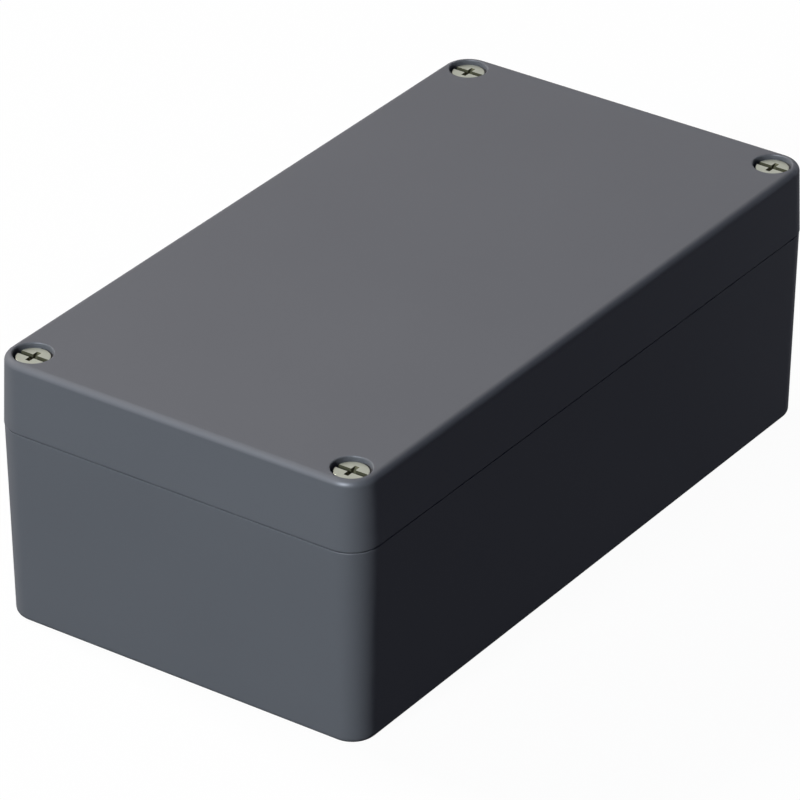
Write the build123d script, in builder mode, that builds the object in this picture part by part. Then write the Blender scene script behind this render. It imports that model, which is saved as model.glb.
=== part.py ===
from build123d import *

import os

# A die cast aluminium enclosure: a deep base, a lid with a gasket, four captive lid screws
# and an earth terminal. Millimetres. X runs along the length, Y across the width and Z up,
# and the origin is the centre of the underside.

# Outside of the closed box
length = 220.0
width = 120.0
height = 80.0
lid_height = 21.0
corner_radius = 8.8
top_edge_radius = 2.0
bottom_edge_radius = 1.5
parting_edge_chamfer = 0.35
base_inset = 0.15
base_draft = 1.2
lid_draft = 2.0

# Walls and the drafted hollows
floor_thickness = 4.0
top_thickness = 4.0
core_draft = 1.2
core_root_radius = 2.0

# Seal: a tongue on the base presses a gasket into a groove in the lid
seal_setback = 3.7
seal_corner_radius = 5.0
tongue_width = 1.8
tongue_height = 4.0
tongue_edge_chamfer = 0.4
tongue_step = 0.5
groove_clearance = 0.7
groove_inner_wall = 1.7
gasket_height = 2.0
gasket_side_gap = 0.1

# Lid screws: M6 cheese head with a combined slot and cross recess
screw_inset = 8.5
head_radius = 4.7
head_height = 4.0
head_edge_chamfer = 0.3
head_sunk = 1.1
head_gap = 0.8
counterbore_lip_chamfer = 0.5
thread_radius = 3.0
thread_clearance = 0.05
thread_engagement = 9.0
thread_end_chamfer = 0.6
neck_radius = 2.5
screw_hole_gap = 0.3
tapped_hole_spare = 3.0
tapped_hole_chamfer = 0.4
slot_width = 1.6
slot_depth = 1.5
cross_arm_width = 1.4
cross_radius = 2.6
cross_tip_radius = 0.8
cross_depth = 2.4

# Nylon washers that keep the screws in the lid
keeper_radius = 4.5
keeper_thickness = 1.0
keeper_lift = 0.2
keeper_side_gap = 0.3
keeper_bore_gap = 0.05
keeper_wall = 2.0

# Wall fixing channels beside the lid screws
channel_pitch = 11.0
channel_radius = 5.3
channel_land = 2.4
ledge_thickness = 8.0
wall_hole_radius = 3.3
lid_pocket_depth = 14.0
lid_pocket_wall = 1.8
lid_pocket_outer_wall = 3.0
lid_pocket_corner_radius = 3.0

# Tapped bosses on the floor
boss_height = 8.0
boss_draft = 2.0
plate_boss_radius = 4.5
plate_hole_radius = 1.65
plate_hole_spare = 1.0
plate_boss_inset_x = 30.0
plate_boss_inset_y = 17.0
rail_boss_inset = 20.0

# Earth terminal
earth_boss_rim = 0.7
earth_boss_inset = 16.0
earth_column_gap = 14.4
earth_thread_radius = 3.0
earth_thread_length = 7.0
earth_hole_spare = 1.5
earth_clamp_size = 11.6
earth_clamp_thickness = 1.5
earth_clamp_lip_height = 1.0
earth_clamp_lip_width = 1.0
earth_clamp_corner_radius = 0.8
earth_lock_rim = 0.6
earth_lock_thickness = 1.4
earth_lock_gap_width = 1.0
earth_bore_gap = 0.2
earth_head_rim = 0.3
earth_head_height = 3.4

# Heights worked out from the sizes above
parting_height = height - lid_height
ceiling_height = height - top_thickness
tongue_top = parting_height + tongue_height
groove_top = tongue_top + gasket_height
seat_height = height - head_sunk - head_height
keeper_bottom = parting_height + keeper_lift
keeper_pocket_top = (
    keeper_bottom + keeper_thickness + thread_engagement + keeper_side_gap
)
screw_tip = parting_height - thread_engagement
boss_top = floor_thickness + boss_height

# Places worked out from the sizes above
screw_x = length / 2 - screw_inset
screw_y = width / 2 - screw_inset
wall_hole_y = screw_y - channel_pitch
groove_width = tongue_width + 2 * groove_clearance
seal_x = length / 2 - seal_setback
seal_y = width / 2 - seal_setback
notch_x = screw_x - channel_radius - channel_land - tongue_width / 2
notch_y = wall_hole_y - channel_radius - channel_land - tongue_width / 2
cavity_margin = -tongue_width / 2 - tongue_step
lid_hollow_margin = -groove_width / 2 - groove_inner_wall
keeper_pocket_radius = keeper_radius + keeper_side_gap
counterbore_radius = head_radius + head_gap
screw_hole_radius = thread_radius + screw_hole_gap
pocket_x_low = notch_x + groove_width / 2 + lid_pocket_wall
pocket_x_high = length / 2 - lid_pocket_outer_wall
pocket_y_low = notch_y + groove_width / 2 + lid_pocket_wall
pocket_y_high = screw_y - keeper_pocket_radius - keeper_wall
plate_x = length / 2 - plate_boss_inset_x
plate_y = width / 2 - plate_boss_inset_y
rail_x = length / 2 - rail_boss_inset
earth_x = earth_boss_inset - length / 2
earth_y = earth_column_gap - notch_y
earth_boss_radius = earth_clamp_size / 2 + earth_boss_rim
earth_head_radius = earth_clamp_size / 2 - earth_head_rim
earth_lock_radius = earth_clamp_size / 2 - earth_lock_rim

corners = {
    "front_left": (-screw_x, -screw_y),
    "front_right": (screw_x, -screw_y),
    "rear_left": (-screw_x, screw_y),
    "rear_right": (screw_x, screw_y),
}
screw_places = list(corners.values())
wall_hole_places = [
    (x, wall_hole_y if y > 0 else -wall_hole_y) for x, y in screw_places
]
plate_places = [(sx * plate_x, sy * plate_y) for sx in (-1, 1) for sy in (-1, 1)]
rail_places = [(-rail_x, 0), (rail_x, 0)]


def seal_outline(margin):
    """The closed seal line, stepped in around each corner column, grown by a margin."""
    step_x = seal_x - notch_x
    step_y = seal_y - notch_y
    with BuildSketch() as outline:
        Rectangle(2 * seal_x, 2 * seal_y)
        with GridLocations(2 * seal_x - step_x, 2 * seal_y - step_y, 2, 2):
            Rectangle(step_x, step_y, mode=Mode.SUBTRACT)
        fillet(outline.vertices(), seal_corner_radius)
        offset(amount=margin, kind=Kind.ARC)
    return outline.sketch


def drafted_core(margin, mouth, depth):
    """The die core of a hollow: its outline at the mouth narrows with depth."""
    with BuildPart() as core:
        with BuildSketch(Plane.XY.offset(mouth)):
            add(seal_outline(margin))
        extrude(amount=depth)
        walls = core.faces().filter_by(Axis.Z, reverse=True)
        draft(
            walls, Plane.XY.offset(mouth), core_draft if depth > 0 else -core_draft
        )
        ends = core.faces().filter_by(Axis.Z).sort_by(Axis.Z)
        far_end = ends[-1] if depth > 0 else ends[0]
        fillet(far_end.edges(), core_root_radius)
    return core.part


def cross_recess(head_top):
    """Four tapered wings that meet on the screw's axis, below the head's top face."""
    with BuildPart() as recess:
        with BuildSketch(Plane.XY.offset(head_top)):
            Rectangle(2 * cross_radius, cross_arm_width)
            Rectangle(cross_arm_width, 2 * cross_radius)
        extrude(amount=-cross_depth)
        with Locations((0, 0, head_top)):
            Cone(
                cross_tip_radius,
                cross_radius,
                cross_depth,
                align=(Align.CENTER, Align.CENTER, Align.MAX),
                mode=Mode.INTERSECT,
            )
    return recess.part


# Base
base_core = drafted_core(
    cavity_margin, parting_height, -(parting_height - floor_thickness)
)

with BuildPart() as base:
    with BuildSketch():
        RectangleRounded(
            length - 2 * base_inset, width - 2 * base_inset, corner_radius - base_inset
        )
    extrude(amount=parting_height)
    draft(
        base.faces().filter_by(Axis.Z, reverse=True),
        Plane.XY.offset(parting_height),
        -base_draft,
    )
    fillet(base.faces().sort_by(Axis.Z)[0].edges(), bottom_edge_radius)
    chamfer(base.faces().sort_by(Axis.Z)[-1].edges(), parting_edge_chamfer)
    add(base_core, mode=Mode.SUBTRACT)

    # Tongue that follows the seal line
    with BuildSketch(Plane.XY.offset(parting_height)):
        add(seal_outline(tongue_width / 2))
        add(seal_outline(-tongue_width / 2), mode=Mode.SUBTRACT)
    extrude(amount=tongue_height)
    chamfer(base.faces().sort_by(Axis.Z)[-1].edges(), tongue_edge_chamfer)

    # Wall fixing channels, each with a ledge at the bottom and a hole through it
    with Locations(*[(x, y, parting_height) for x, y in wall_hole_places]):
        CounterBoreHole(
            wall_hole_radius, channel_radius, parting_height - ledge_thickness, parting_height
        )

    # Tapped holes for the lid screws, countersunk to the thread's mouth chamfer
    with Locations(*[(x, y, parting_height) for x, y in screw_places]):
        CounterSinkHole(
            thread_radius,
            thread_radius + tapped_hole_chamfer,
            thread_engagement + tapped_hole_spare,
            counter_sink_angle=90,
        )

    # Floor bosses for a mounting plate and a rail, and the earth boss
    with BuildSketch(Plane.XY.offset(floor_thickness)):
        with Locations(*plate_places, *rail_places):
            Circle(plate_boss_radius)
        with Locations((earth_x, earth_y)):
            Circle(earth_boss_radius)
    extrude(amount=boss_height, taper=boss_draft)
    with Locations(*[(x, y, boss_top) for x, y in plate_places + rail_places]):
        Hole(plate_hole_radius, boss_height + plate_hole_spare)
    with Locations((earth_x, earth_y, boss_top)):
        Hole(earth_thread_radius, earth_thread_length + earth_hole_spare)
base.part.label = "base"

# Lid
lid_core = drafted_core(
    lid_hollow_margin, parting_height, ceiling_height - parting_height
)

with BuildPart() as lid_screw_hole:
    # A lipped counterbore, a clearance hole and a pocket that the keeper rises in
    with BuildSketch(Plane.XZ):
        with BuildLine():
            Polyline(
                (0, parting_height),
                (keeper_pocket_radius, parting_height),
                (keeper_pocket_radius, keeper_pocket_top),
                (screw_hole_radius, keeper_pocket_top),
                (screw_hole_radius, seat_height),
                (counterbore_radius, seat_height),
                (counterbore_radius, height - counterbore_lip_chamfer),
                (counterbore_radius + counterbore_lip_chamfer, height),
                (0, height),
                close=True,
            )
        make_face()
    revolve(axis=Axis.Z)

with BuildPart() as lid:
    with BuildSketch(Plane.XY.offset(parting_height)):
        RectangleRounded(length, width, corner_radius)
    extrude(amount=lid_height)
    draft(
        lid.faces().filter_by(Axis.Z, reverse=True),
        Plane.XY.offset(parting_height),
        lid_draft,
    )
    fillet(lid.faces().sort_by(Axis.Z)[-1].edges(), top_edge_radius)
    chamfer(lid.faces().sort_by(Axis.Z)[0].edges(), parting_edge_chamfer)
    add(lid_core, mode=Mode.SUBTRACT)

    # Gasket groove
    with BuildSketch(Plane.XY.offset(parting_height)):
        add(seal_outline(groove_width / 2))
        add(seal_outline(-groove_width / 2), mode=Mode.SUBTRACT)
    extrude(amount=groove_top - parting_height, mode=Mode.SUBTRACT)

    # Pockets over the wall fixing channels
    with BuildSketch(Plane.XY.offset(parting_height)):
        with GridLocations(
            pocket_x_low + pocket_x_high, pocket_y_low + pocket_y_high, 2, 2
        ):
            RectangleRounded(
                pocket_x_high - pocket_x_low,
                pocket_y_high - pocket_y_low,
                lid_pocket_corner_radius,
            )
    extrude(amount=lid_pocket_depth, mode=Mode.SUBTRACT)

    with Locations(*[(x, y, 0) for x, y in screw_places]):
        add(lid_screw_hole.part, mode=Mode.SUBTRACT)
lid.part.label = "lid"

# Gasket
with BuildPart() as gasket:
    gasket_edge = groove_width / 2 - gasket_side_gap
    with BuildSketch(Plane.XY.offset(groove_top)):
        add(seal_outline(gasket_edge))
        add(seal_outline(-gasket_edge), mode=Mode.SUBTRACT)
    extrude(amount=-gasket_height)
gasket.part.label = "gasket"


def recessed_screw(x, y, head_top, head_size, shank):
    """A turned screw on a vertical axis: head_size is its radius and height, and shank its
    stretches below the head, each a radius and the height that it ends at."""
    radius, tall = head_size
    outline = [(0, head_top), (radius, head_top), (radius, head_top - tall)]
    top = head_top - tall
    for stretch_radius, stretch_end in shank:
        outline += [(stretch_radius, top), (stretch_radius, stretch_end)]
        top = stretch_end
    outline.append((0, top))
    with BuildPart() as screw:
        with BuildSketch(Plane((x, y, 0), x_dir=(1, 0, 0), z_dir=(0, -1, 0))):
            with BuildLine():
                Polyline(*outline, close=True)
            make_face()
        revolve(axis=Axis((x, y, 0), (0, 0, 1)))
        rims = screw.edges().sort_by(Axis.Z)
        chamfer(rims[-1], head_edge_chamfer)
        chamfer(rims[0], thread_end_chamfer)
        with Locations((x, y, head_top)):
            Box(
                slot_width,
                2 * radius + 1,
                slot_depth,
                align=(Align.CENTER, Align.CENTER, Align.MAX),
                mode=Mode.SUBTRACT,
            )
        with Locations((x, y, 0)):
            add(cross_recess(head_top), mode=Mode.SUBTRACT)
    return screw.part


def washer(x, y, bottom, thickness, radius, bore_radius):
    """A flat ring on a vertical axis."""
    with BuildPart() as ring:
        with BuildSketch(Plane((x, y, bottom))):
            Circle(radius)
            Circle(bore_radius, mode=Mode.SUBTRACT)
        extrude(amount=thickness)
    return ring.part


# Earth terminal: a clamp plate with turned down lips, a split lock washer and a screw
clamp_top = boss_top + earth_clamp_lip_height + earth_clamp_thickness
lock_top = clamp_top + earth_lock_thickness
earth_tip = boss_top - earth_thread_length
earth_bore_radius = earth_thread_radius + earth_bore_gap

with BuildPart() as earth_clamp:
    with BuildSketch(Plane.YZ.offset(earth_x - earth_clamp_size / 2)):
        with Locations((earth_y, clamp_top)):
            Rectangle(
                earth_clamp_size,
                clamp_top - boss_top,
                align=(Align.CENTER, Align.MAX),
            )
        with Locations((earth_y, boss_top)):
            Rectangle(
                earth_clamp_size - 2 * earth_clamp_lip_width,
                earth_clamp_lip_height,
                align=(Align.CENTER, Align.MIN),
                mode=Mode.SUBTRACT,
            )
    extrude(amount=earth_clamp_size)
    upright = earth_clamp.edges().filter_by(Axis.Z).group_by(Axis.Y)
    fillet(upright[0] + upright[-1], earth_clamp_corner_radius)
    with Locations((earth_x, earth_y, clamp_top)):
        Hole(earth_bore_radius, earth_clamp_thickness + earth_clamp_lip_height)
earth_clamp.part.label = "earth_clamp"

with BuildPart() as earth_lock_washer:
    add(
        washer(
            earth_x,
            earth_y,
            clamp_top,
            earth_lock_thickness,
            earth_lock_radius,
            earth_bore_radius,
        )
    )
    with Locations((earth_x, earth_y, clamp_top)):
        Box(
            2 * earth_lock_radius,
            earth_lock_gap_width,
            earth_lock_thickness,
            align=(Align.MIN, Align.CENTER, Align.MIN),
            mode=Mode.SUBTRACT,
        )
earth_lock_washer.part.label = "earth_lock_washer"

earth_screw = recessed_screw(
    earth_x,
    earth_y,
    lock_top + earth_head_height,
    (earth_head_radius, earth_head_height),
    [(earth_thread_radius - thread_clearance, earth_tip)],
)
earth_screw.label = "earth_screw"

os.makedirs("parts", exist_ok=True)
export_step(base.part, "parts/base.step")
export_step(lid.part, "parts/lid.step")
export_step(gasket.part, "parts/gasket.step")
export_step(earth_clamp.part, "parts/earth_clamp.step")
export_step(earth_lock_washer.part, "parts/earth_lock_washer.step")
export_step(earth_screw, "parts/earth_screw.step")

# Captive lid screws, each with its keeper on the waist above the thread
for corner, (x, y) in corners.items():
    screw = recessed_screw(
        x,
        y,
        height - head_sunk,
        (head_radius, head_height),
        [
            (neck_radius, keeper_bottom),
            (thread_radius - thread_clearance, screw_tip),
        ],
    )
    screw.label = f"lid_screw_{corner}"
    export_step(screw, f"parts/lid_screw_{corner}.step")
    keeper = washer(
        x,
        y,
        keeper_bottom,
        keeper_thickness,
        keeper_radius,
        neck_radius + keeper_bore_gap,
    )
    keeper.label = f"screw_keeper_{corner}"
    export_step(keeper, f"parts/screw_keeper_{corner}.step")
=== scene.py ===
"""The looks of a grey powder coated die cast aluminium box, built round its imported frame.

Lengths are in millimetres in every class here, and a shell writes its points in metres.
"""

import logging
import math
from collections.abc import Callable, Sequence
from dataclasses import dataclass, field
from enum import Enum

import bmesh
import bpy
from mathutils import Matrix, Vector
from mathutils.geometry import tessellate_polygon


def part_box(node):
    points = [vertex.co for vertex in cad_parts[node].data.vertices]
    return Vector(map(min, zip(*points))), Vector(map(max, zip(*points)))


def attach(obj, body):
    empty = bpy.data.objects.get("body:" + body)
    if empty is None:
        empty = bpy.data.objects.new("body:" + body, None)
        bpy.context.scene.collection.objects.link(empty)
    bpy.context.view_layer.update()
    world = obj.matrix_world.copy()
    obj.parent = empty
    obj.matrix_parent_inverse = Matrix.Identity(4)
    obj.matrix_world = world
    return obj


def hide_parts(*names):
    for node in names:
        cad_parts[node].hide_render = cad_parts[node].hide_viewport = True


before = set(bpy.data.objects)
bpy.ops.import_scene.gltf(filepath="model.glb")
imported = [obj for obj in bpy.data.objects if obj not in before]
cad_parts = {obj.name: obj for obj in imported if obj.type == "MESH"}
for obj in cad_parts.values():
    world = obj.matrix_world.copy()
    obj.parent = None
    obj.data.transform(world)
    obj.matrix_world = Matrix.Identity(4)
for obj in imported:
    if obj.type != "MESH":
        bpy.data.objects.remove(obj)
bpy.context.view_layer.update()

LOG = logging.getLogger("enclosure")
MM = 0.001
QUARTER = math.pi / 2
SMOOTH_LIMIT = math.radians(34)
LEAST_RADIUS = 0.05
HOLE_STEPS = 48
SAME_HEIGHT = 1e-9
NO_TURN = 1e-6

Point = tuple[float, float]
Ring = list[bmesh.types.BMVert]
Outline = Callable[[float], list[Point]]
Colour = tuple[float, float, float]


class Finish(Enum):
    """The material slots of a piece: its coat or plating, and where a tool has shaped it; on a
    screw the second slot holds the painted shade of its recess.
    """

    COATED = 0
    MACHINED = 1


class Corner(Enum):
    """The four corners of the box, each with the sides of the origin that it lies on."""

    FRONT_LEFT = (-1, -1)
    FRONT_RIGHT = (1, -1)
    REAR_RIGHT = (1, 1)
    REAR_LEFT = (-1, 1)

    @property
    def key(self) -> str:
        """The corner's name as the frame's nodes and bodies spell it."""
        return self.name.lower()

    @property
    def screw(self) -> Vector:
        """The middle of the corner's lid screw."""
        return Span.of(f"lid_screw_{self.key}").centre


@dataclass(frozen=True)
class Span:
    """The box that a CAD node fills at rest."""

    low: Vector
    high: Vector

    @classmethod
    def of(cls, node: str) -> "Span":
        """Reads a node's box from the frame.

        Args:
            node: the CAD node's name.

        Returns:
            Its box in millimetres.
        """
        low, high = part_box(node)
        return cls(low / MM, high / MM)

    @property
    def centre(self) -> Vector:
        """The middle of the box."""
        return (self.low + self.high) / 2


@dataclass(frozen=True)
class Disc:
    """A circle seen from above, which grows from its centre."""

    x: float = 0.0
    y: float = 0.0
    steps: int = 64

    def grown(self, radius: float) -> list[Point]:
        """Places points on the circle.

        Args:
            radius: the circle's radius.

        Returns:
            Its points, anticlockwise from +X.
        """
        turns = (2 * math.pi * i / self.steps for i in range(self.steps))
        return [(self.x + radius * math.cos(a), self.y + radius * math.sin(a)) for a in turns]


@dataclass(frozen=True)
class Slab:
    """A rectangle with round corners about a centre, seen from above."""

    half_x: float
    half_y: float
    radius: float
    x: float = 0.0
    y: float = 0.0
    steps: int = 14
    edge_points: tuple[float, ...] = ()

    def grown(self, margin: float) -> list[Point]:
        """Places points on the outline.

        Args:
            margin: how far the outline stands outside the named size.

        Returns:
            Its points, anticlockwise from the right-hand end of the first corner. The edge
            points stand at those distances along the straight edges from each corner.
        """
        radius = max(self.radius + margin, LEAST_RADIUS)
        points = []
        for turn in range(4):
            start = turn * QUARTER
            side_x, side_y = ((1, 1), (-1, 1), (-1, -1), (1, -1))[turn]
            centre_x = self.x + side_x * (self.half_x + margin - radius)
            centre_y = self.y + side_y * (self.half_y + margin - radius)

            def at(angle: float, back: float = 0.0) -> Point:
                """A point on this corner's arc, moved back along the edge that meets it."""
                along = (math.sin(angle) * back, -math.cos(angle) * back)
                return (
                    centre_x + radius * math.cos(angle) + along[0],
                    centre_y + radius * math.sin(angle) + along[1],
                )

            points += [at(start, back) for back in reversed(self.edge_points)]
            points += [at(start + QUARTER * i / self.steps) for i in range(self.steps + 1)]
            points += [at(start + QUARTER, -back) for back in self.edge_points]
        return points


@dataclass(frozen=True)
class SealLine:
    """The line that the tongue, groove and gasket follow, stepped in round each column."""

    half_x: float = 106.3
    half_y: float = 56.3
    notch_x: float = 92.9
    notch_y: float = 31.9
    radius: float = 5.0
    steps: int = 8

    def grown(self, margin: float) -> list[Point]:
        """Places points on the line.

        Args:
            margin: how far the outline stands outside the seal line.

        Returns:
            Its points, anticlockwise from the right-hand side.
        """
        outer = max(self.radius + margin, LEAST_RADIUS)
        inner = max(self.radius - margin, LEAST_RADIUS)
        right, top = self.half_x + margin, self.half_y + margin
        step_x, step_y = self.notch_x + margin, self.notch_y + margin
        shares = [i / self.steps for i in range(self.steps + 1)]
        quarter = [
            *(self._arc(right - outer, step_y - outer, outer, QUARTER * s) for s in shares),
            *(self._arc(step_x + inner, step_y + inner, inner, -QUARTER * (1 + s)) for s in shares),
            *(self._arc(step_x - outer, top - outer, outer, QUARTER * s) for s in shares),
        ]
        back = quarter[::-1]
        return [
            *quarter,
            *((-x, y) for x, y in back),
            *((-x, -y) for x, y in quarter),
            *((x, -y) for x, y in back),
        ]

    @staticmethod
    def _arc(x: float, y: float, radius: float, angle: float) -> Point:
        """A point on an arc about x, y."""
        return x + radius * math.cos(angle), y + radius * math.sin(angle)


def rounded(corners: Sequence[tuple[float, ...]], steps: int = 5) -> list[Point]:
    """Rounds the corners of an open profile.

    Args:
        corners: the profile's corners as margin and height, with a radius as a third number
            where the corner is round.
        steps: the stretches in each round corner.

    Returns:
        The profile's points as margin and height.
    """
    points: list[Point] = []
    for i, corner in enumerate(corners):
        here = Vector(corner[:2])
        if len(corner) < 3:
            points.append(tuple(here))
            continue
        before = (Vector(corners[i - 1][:2]) - here).normalized()
        after = (Vector(corners[i + 1][:2]) - here).normalized()
        half = before.angle(after) / 2
        centre = here + (before + after).normalized() * (corner[2] / math.sin(half))
        start = here + before * (corner[2] / math.tan(half)) - centre
        end = here + after * (corner[2] / math.tan(half)) - centre
        arc = (start.slerp(end, k / steps) * corner[2] for k in range(steps + 1))
        points += [tuple(centre + spoke) for spoke in arc]
    return points


def drafted(height: float, degrees: float) -> float:
    """How far a draft moves a wall over a height."""
    return height * math.tan(math.radians(degrees))


def ring_section(
    inner: float, outer: float, box: Span, edge: float, steps: int
) -> list[Point]:
    """Draws the section of a flat ring with round edges.

    Args:
        inner: the radius of its bore.
        outer: its outer radius.
        box: the box that gives its lower and upper faces.
        edge: the radius of its edges.
        steps: the stretches in each round edge.

    Returns:
        The section's points as radius and height, from the middle of the lower face.
    """
    low, high, middle = box.low.z, box.high.z, (outer + inner) / 2
    corners = [(outer, low), (outer, high), (inner, high), (inner, low)]
    path = [(middle, low), *((*corner, edge) for corner in corners), (middle, low)]
    return rounded(path, steps)[:-1]


@dataclass(frozen=True)
class Thread:
    """A right-hand screw thread with flattened crests and roots."""

    root: float = 2.45
    crest: float = 2.95
    pitch: float = 1.0
    rings: int = 8
    flat: float = 1.25

    def radius(self, angle: float, height: float, fade: float) -> float:
        """Measures the thread at one place.

        Args:
            angle: the direction from the axis.
            height: the height along the axis.
            fade: 1 for the full thread, 0 where it has run out to its root.

        Returns:
            The radius there.
        """
        turn = (height / self.pitch - angle / (2 * math.pi)) % 1
        ridge = min(1.0, (1 - abs(2 * turn - 1)) * self.flat)
        return self.root + (self.crest - self.root) * ridge * fade


class Shell:
    """A closed mesh of rings of points, the walls between them and flat faces."""

    def __init__(self) -> None:
        """Starts an empty mesh."""
        self.mesh = bmesh.new()

    def ring(self, points: Sequence[Point], height: float | Sequence[float]) -> Ring:
        """Adds one ring of points.

        Args:
            points: the ring's points, seen from above.
            height: their height, or one height for each.

        Returns:
            The mesh's new points.
        """
        heights = height if isinstance(height, Sequence) else [height] * len(points)
        return [
            self.mesh.verts.new((x * MM, y * MM, z * MM)) for (x, y), z in zip(points, heights)
        ]

    def wall(self, rings: Sequence[Ring], finish: Finish = Finish.COATED) -> None:
        """Joins each ring to the next with four-sided faces.

        Args:
            rings: rings with as many points as each other.
            finish: the material slot of the faces.
        """
        for low, high in zip(rings, rings[1:]):
            for i, vert in enumerate(low):
                after = (i + 1) % len(low)
                face = self.mesh.faces.new((vert, low[after], high[after], high[i]))
                face.material_index = finish.value

    def flat(self, *rings: Ring, finish: Finish = Finish.COATED) -> None:
        """Fills a flat face.

        Args:
            rings: its outer ring, then the rings of its holes.
            finish: the material slot of the face.
        """
        verts = [vert for ring in rings for vert in ring]
        outlines = [[Vector((v.co.x, v.co.y, 0)) for v in ring] for ring in rings]
        for corners in tessellate_polygon(outlines):
            face = self.mesh.faces.new([verts[i] for i in corners])
            face.material_index = finish.value

    def loft(
        self, outline: Outline, profile: Sequence[Point], finish: Finish = Finish.COATED
    ) -> list[Ring]:
        """Adds a wall whose outline grows and shrinks along a profile.

        Args:
            outline: gives the outline's points at a margin.
            profile: margins and heights.
            finish: the material slot of the wall.

        Returns:
            The wall's first and last rings.
        """
        rings = [self.ring(outline(margin), height) for margin, height in profile]
        self.wall(rings, finish)
        return [rings[0], rings[-1]]

    def hoop(self, outline: Outline, profile: Sequence[Point]) -> None:
        """Adds a closed band: a wall whose profile ends where it starts.

        Args:
            outline: gives the outline's points at a margin.
            profile: margins and heights.
        """
        rings = [self.ring(outline(margin), height) for margin, height in profile]
        self.wall([*rings, rings[0]])

    def threaded(
        self, disc: Disc, thread: Thread, low: float, high: float, finish: Finish
    ) -> list[Ring]:
        """Adds a threaded stretch that runs out at both ends.

        Args:
            disc: the thread's axis and steps.
            thread: its form.
            low: the height of its lower end.
            high: the height of its upper end.
            finish: the material slot of the thread.

        Returns:
            The stretch's lowest and highest rings.
        """
        count = round((high - low) / thread.pitch * thread.rings)
        rings = []
        for k in range(count + 1):
            height = low + (high - low) * k / count
            fade = min(1.0, (height - low) / thread.pitch, (high - height) / thread.pitch)
            rings.append(
                self.ring(
                    [
                        (
                            disc.x + thread.radius(math.atan2(y, x), height, fade) * x,
                            disc.y + thread.radius(math.atan2(y, x), height, fade) * y,
                        )
                        for x, y in Disc(steps=disc.steps).grown(1.0)
                    ],
                    height,
                )
            )
        self.wall(rings, finish)
        return [rings[0], rings[-1]]

    def data(self, name: str) -> bpy.types.Mesh:
        """Closes the shell and shades it.

        Args:
            name: the mesh's name.

        Returns:
            The mesh, smooth except at its hard edges.
        """
        bmesh.ops.recalc_face_normals(self.mesh, faces=self.mesh.faces)
        data = bpy.data.meshes.new(name)
        self.mesh.to_mesh(data)
        self.mesh.free()
        return shaded(data)


def shaded(data: bpy.types.Mesh) -> bpy.types.Mesh:
    """Shades a mesh smooth except where its faces meet at a hard edge.

    Args:
        data: the mesh.

    Returns:
        The same mesh.
    """
    data.shade_smooth()
    data.set_sharp_from_angle(angle=SMOOTH_LIMIT)
    return data


def show(piece: bpy.types.Object) -> bpy.types.Object:
    """Links an object to the scene and gives it back."""
    bpy.context.scene.collection.objects.link(piece)
    return piece


def place(
    name: str,
    data: bpy.types.Mesh,
    body: str,
    node: str,
    materials: Sequence[bpy.types.Material],
    at: Point = (0.0, 0.0),
) -> bpy.types.Object:
    """Puts a mesh in the scene as a piece of the box.

    Args:
        name: the piece's name.
        data: its mesh.
        body: the body that it rides on.
        node: the CAD node that it stands for.
        materials: its materials, in slot order.
        at: where the mesh's own origin stands, seen from above.

    Returns:
        The new object.
    """
    if not data.materials:
        for material in materials:
            data.materials.append(material)
    piece = show(bpy.data.objects.new(name, data))
    piece.location = (at[0] * MM, at[1] * MM, 0)
    weights = piece.modifiers.new("face_weights", "WEIGHTED_NORMAL")
    weights.keep_sharp = True
    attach(piece, body)
    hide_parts(node)
    LOG.info("%s: %d faces, on body %s", name, len(data.polygons), body)
    return piece


# Finishes


class Recipe:
    """A material under construction: its node tree and its shader."""

    def __init__(self, name: str) -> None:
        """Starts a material with a Principled BSDF.

        Args:
            name: the material's name.
        """
        self.material = bpy.data.materials.new(name)
        self.material.use_nodes = True
        self.tree = self.material.node_tree
        self.shader = self.tree.nodes["Principled BSDF"]

    def node(self, kind: str, **values: object) -> bpy.types.Node:
        """Adds a node.

        Args:
            kind: the node's type, without its ShaderNode prefix.
            values: its properties by name.

        Returns:
            The node.
        """
        return add_node(self.tree, kind, **values)

    def group(self, tree: bpy.types.NodeTree, **values: float) -> bpy.types.Node:
        """Places a node group in the material.

        Args:
            tree: the group.
            values: its inputs by name.

        Returns:
            The group's node.
        """
        node = self.node("Group")
        node.node_tree = tree
        for name, value in values.items():
            node.inputs[name].default_value = value
        return node

    def link(self, source: bpy.types.NodeSocket, target: bpy.types.NodeSocket) -> None:
        """Joins two sockets."""
        self.tree.links.new(source, target)

    def blend(self, share: bpy.types.NodeSocket, low: Colour, high: Colour) -> None:
        """Feeds the base colour with a mix of two colours.

        Args:
            share: how much of the second colour shows.
            low: the first colour.
            high: the second colour.
        """
        mix = self.node("Mix", data_type="RGBA")
        mix.inputs[6].default_value = (*low, 1)
        mix.inputs[7].default_value = (*high, 1)
        self.link(share, mix.inputs[0])
        self.link(mix.outputs[2], self.shader.inputs["Base Color"])

    def vary(self, share: bpy.types.NodeSocket, low: float, high: float) -> None:
        """Feeds the roughness from a mask.

        Args:
            share: the mask.
            low: the roughness where the mask is 0.
            high: the roughness where it is 1.
        """
        spread = self.node("MapRange")
        spread.inputs["To Min"].default_value = low
        spread.inputs["To Max"].default_value = high
        self.link(share, spread.inputs["Value"])
        self.link(spread.outputs["Result"], self.shader.inputs["Roughness"])

    def bump(self, height: bpy.types.NodeSocket, depth: float, strength: float = 1.0) -> None:
        """Feeds the normal from a height.

        Args:
            height: the height socket, from 0 to 1.
            depth: how deep 1 is, in millimetres.
            strength: how much of the bump shows.
        """
        bump = self.node("Bump")
        bump.inputs["Distance"].default_value = depth * MM
        bump.inputs["Strength"].default_value = strength
        self.link(height, bump.inputs["Height"])
        self.link(bump.outputs["Normal"], self.shader.inputs["Normal"])


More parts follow.
